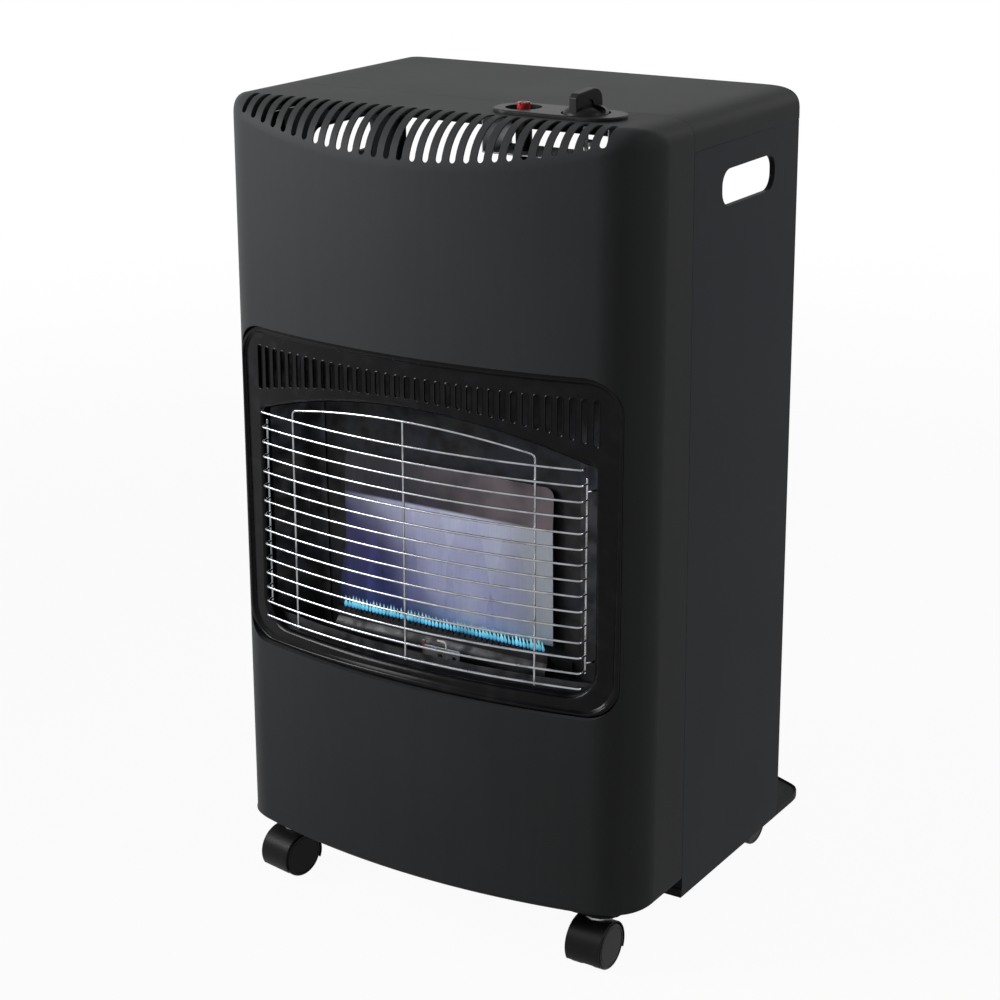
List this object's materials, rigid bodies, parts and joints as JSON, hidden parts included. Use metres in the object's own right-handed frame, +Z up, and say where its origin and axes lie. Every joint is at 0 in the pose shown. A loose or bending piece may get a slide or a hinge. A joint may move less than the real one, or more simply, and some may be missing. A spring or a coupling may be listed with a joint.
{
  "type": "portable gas cabinet heater",
  "caption": "Upright sheet-steel gas heater on casters with a bowed front, slotted top edge, framed fire window behind a wire guard, turn knob, igniter button and an open bottle bay.",
  "frame": {"origin": "on the floor, in the middle of the bounding box seen from above", "axes": "+Z up, front of the heater towards -Y, +X towards the side with the knob"},
  "size_m": [0.42, 0.4094, 0.7501],
  "materials": {
    "charcoal_paint": "matte charcoal powder coat, fine texture",
    "side_paint": "satin blue-grey black powder coat",
    "gloss_black": "gloss black enamel",
    "galvanised": "galvanised sheet",
    "sooty_steel": "heat-darkened matte steel",
    "reflector_steel": "bright rolled steel, heat tinted",
    "chrome": "bright chrome plate",
    "brass": "machined brass",
    "copper": "drawn copper tube",
    "steel": "zinc-plated steel",
    "black_plastic": "satin black plastic",
    "red_plastic": "translucent red plastic",
    "ceramic": "glazed white ceramic"
  },
  "bodies": {
    "cabinet": {"front_shell": "charcoal_paint", "top_panel": "charcoal_paint", "base_pan": "charcoal_paint", "right_side_panel": "side_paint", "left_side_panel": "side_paint", "window_surround": "gloss_black", "wire_guard": "chrome", "divider_panel": "galvanised", "heat_shield": "galvanised", "floor_tray": "sooty_steel", "right_fire_wall": "sooty_steel", "left_fire_wall": "sooty_steel", "fire_hood": "galvanised", "right_shield_bracket": "galvanised", "left_shield_bracket": "galvanised", "reflector": "reflector_steel", "burner": "sooty_steel", "burner_jet": "brass", "pilot_plate": "galvanised", "pilot_burner": "brass", "thermocouple": "copper", "spark_electrode": "ceramic", "controls_bracket": "galvanised", "gas_valve": "brass", "igniter": "black_plastic", "burner_pipe": "copper", "pilot_pipe": "copper", "supply_pipe": "brass", "hose_nozzle": "brass", "control_bezel": "black_plastic", "caster_front_left_plate": "steel", "caster_front_right_plate": "steel", "caster_rear_left_plate": "steel", "caster_rear_right_plate": "steel"},
    "knob_collar": {"spindle_collar": "steel"},
    "knob": {"control_knob": "black_plastic", "valve_spindle": "steel"},
    "button": {"igniter_button": "red_plastic"},
    "caster_front_left": {"caster_front_left_housing": "black_plastic", "caster_front_left_axle": "steel"},
    "wheel_front_left_r": {"caster_front_left_wheel_r": "black_plastic"},
    "wheel_front_left_l": {"caster_front_left_wheel_l": "black_plastic"},
    "caster_front_right": {"caster_front_right_housing": "black_plastic", "caster_front_right_axle": "steel"},
    "wheel_front_right_r": {"caster_front_right_wheel_r": "black_plastic"},
    "wheel_front_right_l": {"caster_front_right_wheel_l": "black_plastic"},
    "caster_rear_left": {"caster_rear_left_housing": "black_plastic", "caster_rear_left_axle": "steel"},
    "wheel_rear_left_r": {"caster_rear_left_wheel_r": "black_plastic"},
    "wheel_rear_left_l": {"caster_rear_left_wheel_l": "black_plastic"},
    "caster_rear_right": {"caster_rear_right_housing": "black_plastic", "caster_rear_right_axle": "steel"},
    "wheel_rear_right_r": {"caster_rear_right_wheel_r": "black_plastic"},
    "wheel_rear_right_l": {"caster_rear_right_wheel_l": "black_plastic"}
  },
  "joints": [
    {"name": "knob_push", "type": "slide", "parent": "cabinet", "child": "knob_collar", "axis": [0, 0, -1], "range_m": [0, 0.004], "stiffness_N_per_m": 1200, "springref_m": -0.001},
    {"name": "knob_turn", "type": "hinge", "parent": "knob_collar", "child": "knob", "pos_m": [0.131, -0.12025, 0.73], "axis": [0, 0, 1], "range_deg": [-180, 90]},
    {"name": "igniter_push", "type": "slide", "parent": "cabinet", "child": "button", "axis": [0, 0, -1], "range_m": [0, 0.006], "stiffness_N_per_m": 1200, "springref_m": -0.001},
    {"name": "swivel_front_left", "type": "hinge", "parent": "cabinet", "child": "caster_front_left", "pos_m": [-0.16318, -0.14942, 0.038], "axis": [0, 0, 1], "continuous": true},
    {"name": "roll_front_left_r", "type": "hinge", "parent": "caster_front_left", "child": "wheel_front_left_r", "pos_m": [-0.165, -0.15925, 0.021], "axis": [0.9833, -0.1822, 0], "continuous": true},
    {"name": "roll_front_left_l", "type": "hinge", "parent": "caster_front_left", "child": "wheel_front_left_l", "pos_m": [-0.165, -0.15925, 0.021], "axis": [0.9833, -0.1822, 0], "continuous": true},
    {"name": "swivel_front_right", "type": "hinge", "parent": "cabinet", "child": "caster_front_right", "pos_m": [0.165, -0.14925, 0.038], "axis": [0, 0, 1], "continuous": true},
    {"name": "roll_front_right_r", "type": "hinge", "parent": "caster_front_right", "child": "wheel_front_right_r", "pos_m": [0.165, -0.15925, 0.021], "axis": [1, 0, 0], "continuous": true},
    {"name": "roll_front_right_l", "type": "hinge", "parent": "caster_front_right", "child": "wheel_front_right_l", "pos_m": [0.165, -0.15925, 0.021], "axis": [1, 0, 0], "continuous": true},
    {"name": "swivel_rear_left", "type": "hinge", "parent": "cabinet", "child": "caster_rear_left", "pos_m": [-0.165, 0.12775, 0.038], "axis": [0, 0, 1], "continuous": true},
    {"name": "roll_rear_left_r", "type": "hinge", "parent": "caster_rear_left", "child": "wheel_rear_left_r", "pos_m": [-0.165, 0.11775, 0.021], "axis": [1, 0, 0], "continuous": true},
    {"name": "roll_rear_left_l", "type": "hinge", "parent": "caster_rear_left", "child": "wheel_rear_left_l", "pos_m": [-0.165, 0.11775, 0.021], "axis": [1, 0, 0], "continuous": true},
    {"name": "swivel_rear_right", "type": "hinge", "parent": "cabinet", "child": "caster_rear_right", "pos_m": [0.165, 0.12775, 0.038], "axis": [0, 0, 1], "continuous": true},
    {"name": "roll_rear_right_r", "type": "hinge", "parent": "caster_rear_right", "child": "wheel_rear_right_r", "pos_m": [0.165, 0.11775, 0.021], "axis": [1, 0, 0], "continuous": true},
    {"name": "roll_rear_right_l", "type": "hinge", "parent": "caster_rear_right", "child": "wheel_rear_right_l", "pos_m": [0.165, 0.11775, 0.021], "axis": [1, 0, 0], "continuous": true}
  ]
}
